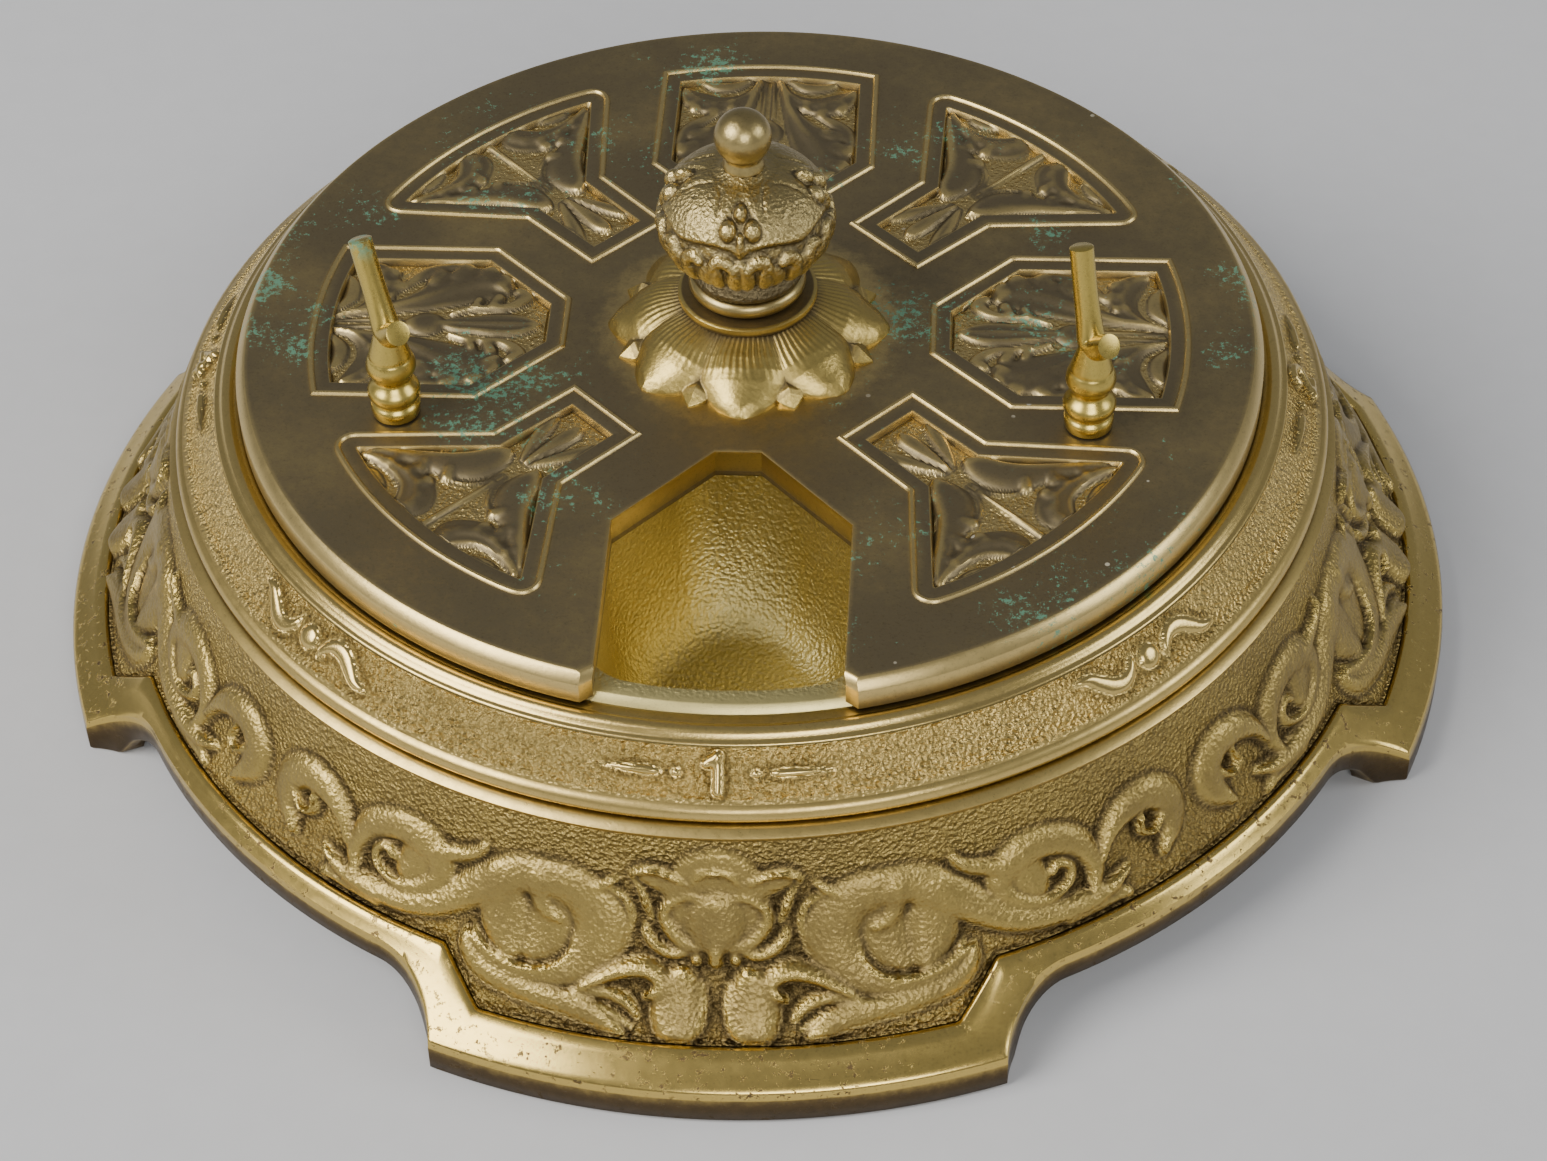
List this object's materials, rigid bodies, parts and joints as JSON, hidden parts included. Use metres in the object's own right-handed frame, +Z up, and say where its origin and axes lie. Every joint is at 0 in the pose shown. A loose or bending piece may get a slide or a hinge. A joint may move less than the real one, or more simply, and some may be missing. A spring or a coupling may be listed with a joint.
{
  "type": "desk inkstand",
  "caption": "Round cast brass desk inkstand on lobed feet, with cups under a revolving lid that has one window, a foliate knob and forked pen rests.",
  "frame": {"origin": "on the table under the knob's axis, at the centre of the stand", "axes": "+Z up along the lid's turning axis; at rest the lid's window faces -Y and the pen rests stand at -X and +X"},
  "size_m": [0.176, 0.176, 0.0752],
  "materials": {
    "stand_brass": "cast, worn bright on the edges",
    "lid_brass": "dark brown patina with gilt edges and relief",
    "knob_brass": "cast, worn smooth",
    "bright_brass": "turned, polished",
    "hidden_steel": "dull",
    "liner_glass": "clear, pressed"
  },
  "bodies": {
    "stand": {"stand_skirt": "stand_brass", "cell_tray": "stand_brass", "ink_glass": "liner_glass", "tray_screw_1": "hidden_steel", "tray_screw_2": "hidden_steel", "tray_screw_3": "hidden_steel", "tray_screw_4": "hidden_steel"},
    "lid": {"lid_plate": "lid_brass", "knob_collar": "knob_brass", "knob_bulb": "knob_brass", "knob_finial": "knob_brass", "lid_spindle": "hidden_steel", "lid_washer": "bright_brass", "spindle_washer": "hidden_steel", "spring_washer": "hidden_steel", "spindle_nut": "bright_brass", "rest_post_left": "bright_brass", "rest_fork_left": "bright_brass", "rest_post_right": "bright_brass", "rest_fork_right": "bright_brass"}
  },
  "joints": [
    {"name": "lid_turn", "type": "hinge", "parent": "stand", "child": "lid", "pos_m": [0, 0, 0.0395], "axis": [0, 0, 1], "continuous": true}
  ]
}
